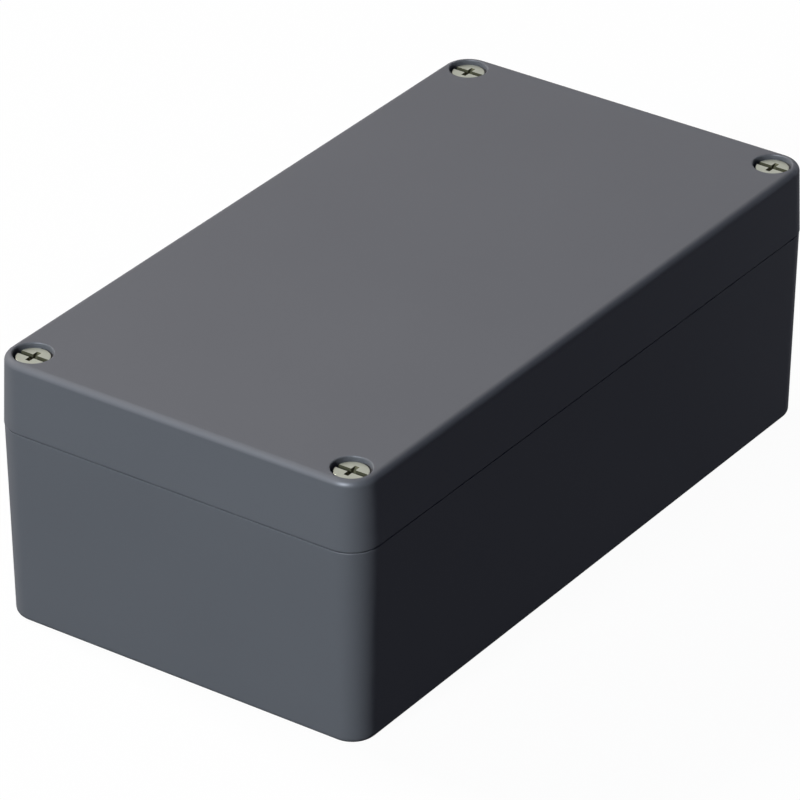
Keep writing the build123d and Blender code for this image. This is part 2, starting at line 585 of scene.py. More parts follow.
def add_node(tree: bpy.types.NodeTree, kind: str, **values: object) -> bpy.types.Node:
    """Adds a shader node to a tree.

    Args:
        tree: the tree.
        kind: the node's type, without its ShaderNode prefix.
        values: its properties by name.

    Returns:
        The node.
    """
    node = tree.nodes.new(f"ShaderNode{kind}")
    for name, value in values.items():
        setattr(node, name, value)
    return node


def new_group(name: str, inputs: dict[str, float], outputs: Sequence[str]) -> tuple:
    """Starts a shader node group with number sockets.

    Args:
        name: the group's name.
        inputs: its inputs and their usual values.
        outputs: its outputs.

    Returns:
        The group's tree, its input node and its output node.
    """
    tree = bpy.data.node_groups.new(name, "ShaderNodeTree")
    for label, value in inputs.items():
        socket = tree.interface.new_socket(label, in_out="INPUT", socket_type="NodeSocketFloat")
        socket.default_value = value
    for label in outputs:
        tree.interface.new_socket(label, in_out="OUTPUT", socket_type="NodeSocketFloat")
    return tree, tree.nodes.new("NodeGroupInput"), tree.nodes.new("NodeGroupOutput")


def grain_group() -> bpy.types.NodeTree:
    """Builds the grain that every finish has: a fine height and a slow drift of tone.

    Returns:
        The group. Scales are in repeats a metre.
    """
    usual = {"Grain Scale": 800.0, "Drift Scale": 25.0, "Detail": 2.0}
    tree, source, sink = new_group("surface_grain", usual, ["Height", "Drift"])
    place_at = add_node(tree, "TexCoord")
    masks = (("Height", "Grain Scale", "Detail"), ("Drift", "Drift Scale", None))
    for label, scale, detail in masks:
        noise = add_node(tree, "TexNoise")
        tree.links.new(place_at.outputs["Object"], noise.inputs["Vector"])
        tree.links.new(source.outputs[scale], noise.inputs["Scale"])
        if detail:
            tree.links.new(source.outputs[detail], noise.inputs["Detail"])
        tree.links.new(noise.outputs["Fac"], sink.inputs[label])
    return tree


def turning_group() -> bpy.types.NodeTree:
    """Builds the rings that a lathe leaves about a piece's own vertical axis.

    Returns:
        The group. Its scale is in repeats a metre.
    """
    usual = {"Ring Scale": 2200.0, "Waver": 0.6}
    tree, source, sink = new_group("turning_rings", usual, ["Height"])
    place_at = add_node(tree, "TexCoord")
    rings = add_node(tree, "TexWave", wave_type="RINGS", rings_direction="Z")
    tree.links.new(place_at.outputs["Object"], rings.inputs["Vector"])
    tree.links.new(source.outputs["Ring Scale"], rings.inputs["Scale"])
    tree.links.new(source.outputs["Waver"], rings.inputs["Distortion"])
    tree.links.new(rings.outputs["Fac"], sink.inputs["Height"])
    return tree


@dataclass(frozen=True)
class Surface:
    """A finish: two tones, a range of roughness and a fine relief."""

    name: str
    low: Colour
    high: Colour
    smooth: float
    rough: float
    grain: float
    relief: float
    drift: float = 120.0
    detail: float = 2.0
    metal: float = 0.0
    specular: float = 0.5
    see_into: float = 0.0
    see_scale: float = 0.05
    gloss_from: str = "Height"
    relief_share: float = 0.6
    rings: float = 0.0
    waver: float = 0.6

    def material(
        self, grain: bpy.types.NodeTree, turning: bpy.types.NodeTree
    ) -> bpy.types.Material:
        """Builds the material.

        Args:
            grain: the grain group.
            turning: the lathe ring group, for a finish that has rings.

        Returns:
            The material.
        """
        recipe = Recipe(self.name)
        scales = {"Grain Scale": self.grain, "Drift Scale": self.drift, "Detail": self.detail}
        surface = relief = recipe.group(grain, **scales)
        if self.rings:
            relief = recipe.group(turning, **{"Ring Scale": self.rings, "Waver": self.waver})
        for label, value in (
            ("Metallic", self.metal),
            ("Specular IOR Level", self.specular),
            ("Subsurface Weight", self.see_into),
            ("Subsurface Scale", self.see_scale),
        ):
            recipe.shader.inputs[label].default_value = value
        recipe.blend(surface.outputs["Drift"], self.low, self.high)
        recipe.vary(surface.outputs[self.gloss_from], self.smooth, self.rough)
        recipe.bump(relief.outputs["Height"], self.relief, self.relief_share)
        return recipe.material


@dataclass(frozen=True)
class PowderCoat(Surface):
    """The satin grey powder coat on both castings, with fine metal flake and orange peel."""

    name: str = "powder_coat"
    low: Colour = (0.149, 0.152, 0.165)
    high: Colour = (0.159, 0.162, 0.175)
    smooth: float = 0.42
    rough: float = 0.50
    grain: float = 900.0
    relief: float = 0.012
    drift: float = 18.0
    detail: float = 1.0
    metal: float = 0.058
    specular: float = 0.0
    gloss_from: str = "Drift"
    relief_share: float = 0.5


@dataclass(frozen=True)
class CutAluminium(Surface):
    """Bare casting alloy where a drill, tap or cutter has been through the coat."""

    name: str = "cut_aluminium"
    low: Colour = (0.43, 0.43, 0.44)
    high: Colour = (0.55, 0.55, 0.56)
    smooth: float = 0.45
    rough: float = 0.60
    grain: float = 2600.0
    relief: float = 0.01
    drift: float = 300.0
    metal: float = 1.0
    relief_share: float = 0.3
    rings: float = 1600.0


@dataclass(frozen=True)
class PlatedSteel(Surface):
    """Plated screw steel with lathe marks about its axis."""

    grain: float = 3000.0
    relief: float = 0.008
    drift: float = 420.0
    metal: float = 1.0
    specular: float = 0.0
    relief_share: float = 0.35
    rings: float = 2400.0
    waver: float = 0.4


@dataclass(frozen=True)
class Moulded(Surface):
    """A moulded material without metal: rubber or nylon."""

    see_scale: float = MM


@dataclass
class Finishes:
    """Every material of the box, built once."""

    coat: bpy.types.Material = field(init=False)
    cut: bpy.types.Material = field(init=False)
    screw: bpy.types.Material = field(init=False)
    # The recess material is painted shade: a dark tone laid in the screw recesses.
    recess: bpy.types.Material = field(init=False)
    zinc: bpy.types.Material = field(init=False)
    rubber: bpy.types.Material = field(init=False)
    nylon: bpy.types.Material = field(init=False)

    def __post_init__(self) -> None:
        """Builds the shared groups and the materials."""
        groups = grain_group(), turning_group()
        nickel = PlatedSteel("nickel_plate", (0.345, 0.353, 0.30), (0.41, 0.42, 0.357), 0.30, 0.44)
        # Painted shade: a dark olive metal for the screw recesses, darker than the plating.
        recess_shade_steel = PlatedSteel(
            "recess_painted_shade", (0.100, 0.096, 0.060), (0.150, 0.145, 0.095), 0.50, 0.65, metal=0.25
        )
        zinc = PlatedSteel("zinc_plate", (0.50, 0.52, 0.54), (0.66, 0.67, 0.68), 0.30, 0.50)
        rubber = Moulded(
            "gasket_rubber", (0.016, 0.016, 0.017), (0.026, 0.026, 0.027), 0.55, 0.75, 1500.0, 0.02
        )
        nylon = Moulded(
            "keeper_nylon", (0.66, 0.64, 0.57), (0.74, 0.72, 0.66), 0.35, 0.5, 700.0, 0.01,
            see_into=0.2,
        )
        self.coat = PowderCoat().material(*groups)
        self.cut = CutAluminium().material(*groups)
        self.screw = nickel.material(*groups)
        self.recess = recess_shade_steel.material(*groups)
        self.zinc = zinc.material(*groups)
        self.rubber = rubber.material(*groups)
        self.nylon = nylon.material(*groups)

    @property
    def screw_steel(self) -> list[bpy.types.Material]:
        """The materials of a screw: its plating, and the recess darkened with painted shade."""
        return [self.screw, self.recess]

    @property
    def casting(self) -> list[bpy.types.Material]:
        """The materials of a casting in the order of its finishes."""
        return [self.coat, self.cut]


# The box


@dataclass(frozen=True)
class PartingGap:
    """The narrow dark gap under the lid's edge, and the rounds above and below it."""

    height: float = 0.40
    depth: float = 0.8
    base_edge: float = 0.22
    lid_edge: float = 0.22


@dataclass
class BaseCasting:
    """The deep casting: drafted walls, the tongue, corner columns and the floor's bosses."""

    seal: SealLine = field(default_factory=SealLine)
    parting: float = 59.0
    draft: float = 1.2
    outline_inset: float = 0.15
    foot_radius: float = 1.9
    gap: PartingGap = PartingGap()
    corner_radius: float = 8.8
    floor: float = 4.0
    floor_root: float = 2.0
    cavity_margin: float = -1.4
    tongue_half: float = 0.9
    tongue_top: float = 63.0
    channel_radius: float = 5.3
    channel_y: float = 40.5
    ledge: float = 8.0
    wall_hole: float = 3.3
    tap_mouth: float = 3.4
    tap_depth: float = 12.0
    boss_top: float = 12.0
    boss_lean: float = 0.28
    plate_boss: float = 4.5
    plate_hole: Thread = Thread(root=1.65, crest=1.95, pitch=0.7, rings=6)
    plate_depth: float = 9.0
    plate_x: float = 80.0
    plate_y: float = 43.0
    rail_x: float = 90.0
    earth_boss: float = 6.5
    earth_depth: float = 8.5
    tapped: Thread = Thread(root=2.51, crest=3.01, rings=6)
    hole_edge: float = 0.3
    ledge_root: float = 0.8
    tongue_edge: float = 0.5
    tongue_foot: float = 0.3
    tongue_inner_foot: float = 0.15
    cavity_edge: float = 0.2
    boss_root: float = 0.9
    boss_edge: float = 0.25
    mouth_rim: float = 0.2
    mouth_depth: float = 0.4
    drill_tip: float = 0.1
    drill_point: float = 0.55

    def build(self, finishes: Finishes) -> bpy.types.Object:
        """Builds the base and puts it in the scene.

        Args:
            finishes: the box's materials.

        Returns:
            The base.
        """
        shell = Shell()
        underside, rim = self._outside(shell)
        holes_below, holes_above = self._channels(shell)
        taps = self._tapped_holes(shell)
        tongue_foot, floor_edge = self._seal_and_cavity(shell)
        bosses = self._bosses(shell)
        shell.flat(underside, *holes_below)
        shell.flat(rim, tongue_foot, *holes_above, *taps)
        shell.flat(floor_edge, *bosses)
        data = shell.data("base")
        return place("base", data, "base", "base", finishes.casting)

    def _outside(self, shell: Shell) -> list[Ring]:
        """Adds the outer walls, and gives the rings of the underside and of the rim."""
        box = Span.of("lid")
        lean = drafted(self.parting, self.draft)
        outline = Slab(box.high.x, box.high.y, self.corner_radius)
        inset = self.outline_inset
        profile = rounded(
            [
                (-inset - lean - 3, 0),
                (-inset - lean, 0, self.foot_radius),
                (-inset, self.parting, self.gap.base_edge),
                (-inset - 1, self.parting),
            ]
        )
        return shell.loft(outline.grown, profile[1:-1])

    def _channels(self, shell: Shell) -> tuple[list[Ring], list[Ring]]:
        """Adds the wall fixing channels, and gives their rings below and above."""
        profile = rounded(
            [
                (self.wall_hole + 1, 0),
                (self.wall_hole, 0, self.hole_edge),
                (self.wall_hole, self.ledge, self.hole_edge),
                (self.channel_radius, self.ledge, self.ledge_root),
                (self.channel_radius, self.parting, self.hole_edge),
                (self.channel_radius + 1, self.parting),
            ]
        )[1:-1]
        ends = []
        for corner in Corner:
            disc = Disc(corner.screw.x, corner.value[1] * self.channel_y)
            ends.append(shell.loft(disc.grown, profile))
        return [end[0] for end in ends], [end[1] for end in ends]

    def _hole(
        self, shell: Shell, disc: Disc, thread: Thread, mouth: float, top: float, depth: float
    ) -> Ring:
        """Adds a blind tapped hole.

        Args:
            shell: the casting.
            disc: the hole's axis.
            thread: its thread.
            mouth: the radius of its countersunk mouth.
            top: the height of the mouth.
            depth: its depth.

        Returns:
            The mouth's ring.
        """
        bottom = top - depth
        cut = Finish.MACHINED
        start, stop = bottom + thread.pitch, top - self.mouth_depth
        low, high = shell.threaded(disc, thread, start, stop, cut)
        rim = shell.ring(disc.grown(mouth), top)
        foot = shell.ring(disc.grown(thread.root), bottom)
        tip = bottom - thread.root * self.drill_point
        point = shell.ring(disc.grown(thread.root * self.drill_tip), tip)
        shell.wall([high, rim], cut)
        shell.wall([point, foot, low], cut)
        shell.flat(point, finish=cut)
        return rim

    def _tapped_holes(self, shell: Shell) -> list[Ring]:
        """Adds the lid screws' tapped holes, and gives the rings of their mouths."""
        rims = []
        for corner in Corner:
            disc = Disc(*corner.screw.xy, HOLE_STEPS)
            rims.append(
                self._hole(shell, disc, self.tapped, self.tap_mouth, self.parting, self.tap_depth)
            )
        return rims

    def _seal_and_cavity(self, shell: Shell) -> list[Ring]:
        """Adds the tongue and the cavity, and gives their outermost and innermost rings."""
        lean = drafted(self.parting - self.floor, self.draft)
        profile = rounded(
            [
                (self.tongue_half + 1, self.parting),
                (self.tongue_half, self.parting, self.tongue_foot),
                (self.tongue_half, self.tongue_top, self.tongue_edge),
                (-self.tongue_half, self.tongue_top, self.tongue_edge),
                (-self.tongue_half, self.parting, self.tongue_inner_foot),
                (self.cavity_margin, self.parting, self.cavity_edge),
                (self.cavity_margin - lean, self.floor, self.floor_root),
                (self.cavity_margin - 9, self.floor),
            ]
        )[1:-1]
        return shell.loft(self.seal.grown, profile)

    def _bosses(self, shell: Shell) -> list[Ring]:
        """Adds the floor's tapped bosses, and gives the rings of their feet."""
        places = [(sx * self.plate_x, sy * self.plate_y) for sx in (-1, 1) for sy in (-1, 1)]
        places += [(-self.rail_x, 0), (self.rail_x, 0)]
        feet = [
            self._boss(shell, disc, self.plate_boss, self.plate_hole, self.plate_depth)
            for disc in (Disc(x, y, HOLE_STEPS) for x, y in places)
        ]
        disc = Disc(*Span.of("earth_clamp").centre.xy, HOLE_STEPS)
        feet.append(self._boss(shell, disc, self.earth_boss, self.tapped, self.earth_depth))
        return feet

    def _boss(self, shell: Shell, disc: Disc, radius: float, thread: Thread, depth: float) -> Ring:
        """Adds one boss with its tapped hole and cut top.

        Args:
            shell: the casting.
            disc: the boss's axis.
            radius: its radius at the floor.
            thread: its hole's thread.
            depth: its hole's depth.

        Returns:
            The ring of its foot.
        """
        mouth = thread.crest + self.mouth_rim
        land = radius - self.boss_lean
        side = rounded(
            [
                (radius + 2, self.floor),
                (radius, self.floor, self.boss_root),
                (land, self.boss_top, self.boss_edge),
                (mouth, self.boss_top),
            ]
        )[1:-1]
        foot, edge = shell.loft(disc.grown, side)
        rim = self._hole(shell, disc, thread, mouth, self.boss_top, depth)
        shell.wall([edge, rim], Finish.MACHINED)
        return foot


@dataclass
class LidCasting:
    """The shallow casting: counterbores that break into its top edge, groove and hollow."""

    seal: SealLine = field(default_factory=SealLine)
    draft: float = 2.0
    corner_radius: float = 8.8
    edge_radius: float = 2.0
    edge_steps: int = 8
    ceiling: float = 76.0
    ceiling_root: float = 2.0
    core_draft: float = 1.2
    groove_half: float = 1.6
    groove_top: float = 65.0
    hollow_margin: float = -3.3
    counterbore: float = 5.5
    lip: float = 0.4
    rim_clearance: float = 0.22
    seat: float = 74.9
    screw_hole: float = 3.3
    keeper_pocket: float = 4.8
    keeper_top: float = 69.5
    pocket_low: Point = (96.3, 35.3)
    pocket_high: Point = (107.0, 44.7)
    pocket_depth: float = 14.0
    pocket_radius: float = 3.0
    gap: PartingGap = PartingGap()
    seat_root: float = 0.25
    hole_edge: float = 0.15
    keeper_root: float = 0.3
    mouth_edge: float = 0.25
    groove_edge: float = 0.25
    hollow_edge: float = 0.3
    pocket_edge: float = 0.3
    pocket_root: float = 1.2
    lip_steps: int = 5
    bore_steps: int = 80
    edge_tries: int = 60
    rim_halvings: int = 30
    box: Span = field(default_factory=lambda: Span.of("lid"))

    @property
    def outline(self) -> Slab:
        """The lid's outline at the parting line, with points where the counterbores pass."""
        passing = tuple(0.9 * (i + 1) for i in range(8))
        high = self.box.high
        return Slab(high.x, high.y, self.corner_radius, steps=16, edge_points=passing)

    @property
    def top(self) -> float:
        """The height of the top face."""
        return self.box.high.z

    @property
    def lean(self) -> float:
        """How far the draft brings the walls in over the lid's height."""
        return drafted(self.top - self.box.low.z, self.draft)

    @property
    def face_margin(self) -> float:
        """The margin at which the top edge's round meets the flat top."""
        half = math.radians(90 - self.draft) / 2
        return -self.lean - self.edge_radius * math.tan(half)

    def surface(self, margin: float) -> float:
        """Measures the top edge's round.

        Args:
            margin: a margin on the round or the flat top.

        Returns:
            The height of the lid's outside there.
        """
        out = max(margin - self.face_margin, 0.0)
        return self.top - self.edge_radius + math.sqrt(max(self.edge_radius**2 - out**2, 0.0))

    def margin_at(self, x: float, y: float) -> float:
        """Measures how far a point lies outside the outline, so less than 0 inside it."""
        across = abs(x) - (self.box.high.x - self.corner_radius)
        along = abs(y) - (self.box.high.y - self.corner_radius)
        if across > 0 and along > 0:
            return math.hypot(across, along) - self.corner_radius
        return max(across, along) - self.corner_radius

    def build(self, finishes: Finishes) -> bpy.types.Object:
        """Builds the lid and puts it in the scene.

        Args:
            finishes: the box's materials.

        Returns:
            The lid.
        """
        shell = Shell()
        parting_edge, top_edge = self._outside(shell)
        rims, mouths = self._screw_holes(shell)
        groove_edge, ceiling = self._groove_and_hollow(shell)
        pockets = self._pockets(shell)
        shell.flat(top_edge, *rims)
        shell.flat(parting_edge, groove_edge, *mouths, *pockets)
        shell.flat(ceiling)
        data = shell.data("lid")
        return place("lid", data, "lid", "lid", finishes.casting)

    def _outside(self, shell: Shell) -> list[Ring]:
        """Adds the outer walls and top edge, and gives the lowest and highest rings."""
        low = self.box.low.z
        wall = rounded(
            [
                (-self.gap.depth - 1, low),
                (-self.gap.depth, low),
                (-self.gap.depth, low + self.gap.height),
                (0, low + self.gap.height, self.gap.lid_edge),
                (-self.lean, self.top, self.edge_radius),
                (-9, self.top),
            ],
            self.edge_steps,
        )[1:-1]
        straight, edge = wall[: -self.edge_steps], wall[-self.edge_steps :]
        rings = [shell.ring(self.outline.grown(margin), height) for margin, height in straight]
        start = straight[-1][0]
        ends = self._edge_ends(start)
        for margin, _ in edge:
            share = (margin - start) / (self.face_margin - start)
            margins = [start + (end - start) * share for end in ends]
            grown = [self.outline.grown(m)[i] for i, m in enumerate(margins)]
            rings.append(shell.ring(grown, [self.surface(m) for m in margins]))
        shell.wall(rings)
        return [rings[0], rings[-1]]

    def _edge_ends(self, start: float) -> list[float]:
        """Finds where the top edge's round ends at each of its points.

        Args:
            start: the margin at which the round starts.

        Returns:
            For each point of the outline the margin of the flat top, or a margin nearer the
            outside where a counterbore breaks into the round.
        """
        steps = self.edge_tries
        tries = [start + (self.face_margin - start) * k / steps for k in range(steps + 1)]
        outlines = [self.outline.grown(margin) for margin in tries]
        screws = [corner.screw for corner in Corner]
        ends = []
        for i in range(len(outlines[0])):
            end = self.face_margin
            for margin, points in zip(tries, outlines):
                x, y = points[i]
                near = min(math.hypot(x - s.x, y - s.y) for s in screws)
                if near < self.counterbore + self.lip + self.rim_clearance:
                    end = margin
                    break
            ends.append(end)
        return ends

    def _rim(self, disc: Disc, angle: float) -> float:
        """Finds where a counterbore's lip meets the lid's outside.

        Args:
            disc: the counterbore's axis.
            angle: the direction from the axis.

        Returns:
            How far round the lip's arc the meeting lies, from its top.
        """
        low, high = 0.0, QUARTER
        for _ in range(self.rim_halvings):
            turn = (low + high) / 2
            reach, height = self._lip_at(turn)
            x, y = disc.x + reach * math.cos(angle), disc.y + reach * math.sin(angle)
            if self.surface(self.margin_at(x, y)) < height - SAME_HEIGHT:
                low = turn
            else:
                high = turn
        return high if high > NO_TURN else 0.0

    def _lip_at(self, turn: float) -> Point:
        """The radius and height of a counterbore's lip at a turn from its top."""
        reach = self.counterbore + self.lip * (1 - math.sin(turn))
        return reach, self.top - self.lip * (1 - math.cos(turn))

    def _screw_holes(self, shell: Shell) -> tuple[list[Ring], list[Ring]]:
        """Adds the screw holes, and gives their rings in the top and in the underside."""
        low = self.box.low.z
        inside = rounded(
            [
                (self.counterbore, self.top),
                (self.counterbore, self.seat, self.seat_root),
                (self.screw_hole, self.seat, self.hole_edge),
                (self.screw_hole, self.keeper_top, self.hole_edge),
                (self.keeper_pocket, self.keeper_top, self.keeper_root),
                (self.keeper_pocket, low, self.mouth_edge),
                (self.keeper_pocket + 1, low),
            ],
            4,
        )[1:-1]
        rims, mouths = [], []
        for corner in Corner:
            disc = Disc(*corner.screw.xy, self.bore_steps)
            angles = [2 * math.pi * i / disc.steps for i in range(disc.steps)]
            starts = [self._rim(disc, angle) for angle in angles]
            rings = []
            for k in range(self.lip_steps + 1):
                turns = [start + (QUARTER - start) * k / self.lip_steps for start in starts]
                spots = [self._lip_at(turn) for turn in turns]
                around = [
                    (disc.x + reach * math.cos(a), disc.y + reach * math.sin(a))
                    for (reach, _), a in zip(spots, angles)
                ]
                rings.append(shell.ring(around, [height for _, height in spots]))
            rings += [shell.ring(disc.grown(reach), height) for reach, height in inside]
            shell.wall(rings)
            rims.append(rings[0])
            mouths.append(rings[-1])
        return rims, mouths

    def _groove_and_hollow(self, shell: Shell) -> list[Ring]:
        """Adds the groove and the hollow, and gives their outermost and innermost rings."""
        low = self.box.low.z
        lean = drafted(self.ceiling - low, self.core_draft)
        profile = rounded(
            [
                (self.groove_half + 1, low),
                (self.groove_half, low, self.groove_edge),
                (self.groove_half, self.groove_top, self.groove_edge),
                (-self.groove_half, self.groove_top, self.groove_edge),
                (-self.groove_half, low, self.groove_edge),
                (self.hollow_margin, low, self.hollow_edge),
                (self.hollow_margin - lean, self.ceiling, self.ceiling_root),
                (self.hollow_margin - 9, self.ceiling),
            ]
        )[1:-1]
        return shell.loft(self.seal.grown, profile)

    def _pockets(self, shell: Shell) -> list[Ring]:
        """Adds the pockets over the wall fixing channels, and gives their mouths' rings."""
        half_x = (self.pocket_high[0] - self.pocket_low[0]) / 2
        half_y = (self.pocket_high[1] - self.pocket_low[1]) / 2
        low = self.box.low.z
        lean = drafted(self.pocket_depth, self.core_draft)
        profile = rounded(
            [
                (1, low),
                (0, low, self.pocket_edge),
                (-lean, low + self.pocket_depth, self.pocket_root),
                (-3, low + self.pocket_depth),
            ]
        )[1:-1]
        mouths = []
        for corner in Corner:
            side_x, side_y = corner.value
            pocket = Slab(
                half_x,
                half_y,
                self.pocket_radius,
                side_x * (self.pocket_low[0] + half_x),
                side_y * (self.pocket_low[1] + half_y),
                steps=6,
            )
            mouth, end = shell.loft(pocket.grown, profile)
            shell.flat(end)
            mouths.append(mouth)
        return mouths


@dataclass
class Gasket:
    """The moulded seal in the lid's groove, printed by the tongue along its lower face."""

    seal: SealLine = field(default_factory=SealLine)
    half_width: float = 1.5
    print_half: float = 0.95
    print_slope: float = 0.1
    print_edge: float = 0.15
    print_foot: float = 0.12
    bulge: float = 0.35
    bulge_edge: float = 0.2
    back_edge: float = 0.15
    edge_steps: int = 3

    def build(self, finishes: Finishes) -> None:
        """Builds the gasket and puts it in the scene.

        Args:
            finishes: the box's materials.
        """
        box = Span.of("gasket")
        low, high = box.low.z, box.high.z
        side = [
            (-self.print_half, low, self.print_edge),
            (-self.print_half - self.print_slope, low - self.bulge, self.print_foot),
            (-self.half_width, low - self.bulge, self.bulge_edge),
            (-self.half_width, high, self.back_edge),
        ]
        mirrored = [(-margin, height, radius) for margin, height, radius in reversed(side)]
        ends = [(0.0, high), (0.0, low)]
        profile = rounded([ends[1], *side, ends[0]], self.edge_steps)
        profile += rounded([ends[0], *mirrored, ends[1]], self.edge_steps)[1:-1]
        shell = Shell()
        shell.hoop(self.seal.grown, profile)
        place("gasket", shell.data("gasket"), "lid", "gasket", [finishes.rubber])


@dataclass
class Recess:
    """A slot right across a screw head, with a tapered cross about its middle."""

    slot_width: float = 1.6
    slot_depth: float = 1.5
    arm_width: float = 1.4
    arm_reach: float = 2.6
    tip_reach: float = 0.8
    depth: float = 2.4
    edge: float = 0.07
    rim: float = 0.15
    above: float = 1.0
    hard_angle: float = 40.0
    weld: float = 1e-7

    def cut(self, screw: bpy.types.Mesh, top: float, head_radius: float) -> bpy.types.Mesh:
        """Cuts the recess into a screw's head and breaks its edges.

        Args:
            screw: the screw's mesh about its own axis.
            top: the height of the head's face.
            head_radius: the head's radius.

        Returns:
            A new mesh.
        """
        body = show(bpy.data.objects.new("screw_blank", screw))
        reach = head_radius + self.above
        slot, arm = self.slot_width / 2, self.arm_width / 2
        tools = [
            self._wedge("slot", (slot, reach), (slot, reach), top, self.slot_depth),
            self._wedge("arm_x", (self.arm_reach, arm), (self.tip_reach, arm), top, self.depth),
            self._wedge("arm_y", (arm, self.arm_reach), (arm, self.tip_reach), top, self.depth),
        ]
        for tool in tools:
            cutter = body.modifiers.new(tool.name, "BOOLEAN")
            cutter.operation = "DIFFERENCE"
            cutter.solver = "EXACT"
            cutter.object = tool
        graph = bpy.context.evaluated_depsgraph_get()
        made = bpy.data.meshes.new_from_object(body.evaluated_get(graph))
        for spare in [body, *tools]:
            bpy.data.objects.remove(spare)
        return self._finished(made, top, head_radius)

    def _wedge(
        self, name: str, half: Point, tip: Point, top: float, depth: float
    ) -> bpy.types.Object:
        """Builds a cutter that narrows downward.

        Args:
            name: the cutter's name.
            half: its half sizes at the head's face.
            tip: its half sizes at its bottom.
            top: the height of the head's face.
            depth: its depth.

        Returns:
            The cutter, which also stands a little above the face.
        """
        rise = self.above / depth
        over = (half[0] + (half[0] - tip[0]) * rise, half[1] + (half[1] - tip[1]) * rise)
        shell = Shell()
        ends = [
            shell.ring([(x, y), (-x, y), (-x, -y), (x, -y)], height)
            for (x, y), height in ((tip, top - depth), (over, top + self.above))
        ]
        shell.wall(ends)
        shell.flat(ends[0])
        shell.flat(ends[1])
        return show(bpy.data.objects.new(name, shell.data(name)))

    def _finished(self, made: bpy.types.Mesh, top: float, head_radius: float) -> bpy.types.Mesh:
        """Breaks the hard edges of the head and gives the faces of the recess the slot of painted
        shade.

        Args:
            made: the cut screw.
            top: the height of the head's face.
            head_radius: the head's radius.

        Returns:
            The same mesh.
        """
        lowest = top - self.depth - self.rim
        mesh = bmesh.new()
        mesh.from_mesh(made)
        bmesh.ops.remove_doubles(mesh, verts=mesh.verts, dist=self.weld)
        hard = [
            edge
            for edge in mesh.edges
            if len(edge.link_faces) == 2
            and edge.calc_face_angle(0) > math.radians(self.hard_angle)
            and min(v.co.z for v in edge.verts) > lowest * MM
        ]
        bmesh.ops.bevel(
            mesh, geom=hard, offset=self.edge * MM, segments=2, affect="EDGES", clamp_overlap=True
        )
        for face in mesh.faces:
            centre = face.calc_center_median() / MM
            inside = math.hypot(centre.x, centre.y) < head_radius - 2 * self.rim
            if inside and lowest < centre.z < top - self.edge:
                # The recess faces take the second slot, whose material paints shade into the
                # recess.
                face.material_index = Finish.MACHINED.value
        mesh.to_mesh(made)
        mesh.free()
        return shaded(made)


@dataclass
class Screw:
    """A turned cheese head screw about its own axis."""

    head_radius: float
    head_height: float
    top: float
    neck_radius: float
    neck_end: float
    tip: float
    thread: Thread = Thread()
    recess: Recess = field(default_factory=Recess)
    disc: Disc = Disc()
    head_edge: float = 0.15
    seat_edge: float = 0.12
    neck_root: float = 0.2
    run_out: float = 0.35
    point: float = 0.5
    point_rim: float = 0.45

    def mesh(self, name: str) -> bpy.types.Mesh:
        """Builds the screw.

        Args:
            name: the mesh's name.

        Returns:
            The mesh, with its threads and recess.
        """
        shell = Shell()
        seat = self.top - self.head_height
        thread_top = self.neck_end - self.run_out
        head = rounded(
            [
                (1, self.top),
                (self.head_radius, self.top, self.head_edge),
                (self.head_radius, seat, self.seat_edge),
                (self.neck_radius, seat, self.neck_root),
                (self.neck_radius, self.neck_end),
                (self.thread.root, thread_top),
            ]
        )[1:]
        face, shank = shell.loft(self.disc.grown, head[:-1])
        start = self.tip + self.point
        low, high = shell.threaded(self.disc, self.thread, start, thread_top, Finish.COATED)
        end = shell.ring(self.disc.grown(self.thread.root - self.point_rim), self.tip)
        shell.wall([shank, high])
        shell.wall([low, end])
        shell.flat(face)
        shell.flat(end)
        return self.recess.cut(shell.data(name), self.top, self.head_radius)


@dataclass
class LidScrews:
    """The four captive screws and the nylon keepers that hold them in the lid."""

    head_radius: float = 4.7
    head_height: float = 4.0
    neck_radius: float = 2.5
    keeper_radius: float = 4.5
    keeper_bore: float = 2.55
    keeper_edge: float = 0.22
    keeper_steps: int = 56
    edge_steps: int = 3

    def build(self, finishes: Finishes) -> None:
        """Builds the screws and keepers and puts them in the scene.

        Args:
            finishes: the box's materials.
        """
        box = Span.of(f"lid_screw_{Corner.FRONT_LEFT.key}")
        ring = Span.of(f"screw_keeper_{Corner.FRONT_LEFT.key}")
        screw = Screw(
            self.head_radius, self.head_height, box.high.z, self.neck_radius, ring.low.z, box.low.z
        ).mesh("lid_screw")
        keeper = self._keeper(ring)
        for corner in Corner:
            key, at = corner.key, tuple(corner.screw.xy)
            node = f"lid_screw_{key}"
            place(node, screw, f"screw_{key}", node, finishes.screw_steel, at)
            node = f"screw_keeper_{key}"
            place(node, keeper, f"keeper_{key}", node, [finishes.nylon], at)

    def _keeper(self, box: Span) -> bpy.types.Mesh:
        """Builds a keeper.

        Args:
            box: the box of a keeper's CAD node.

        Returns:
            Its mesh about its own axis.
        """
        section = ring_section(
            self.keeper_bore, self.keeper_radius, box, self.keeper_edge, self.edge_steps
        )
        shell = Shell()
        shell.hoop(Disc(steps=self.keeper_steps).grown, section)
        return shell.data("screw_keeper")


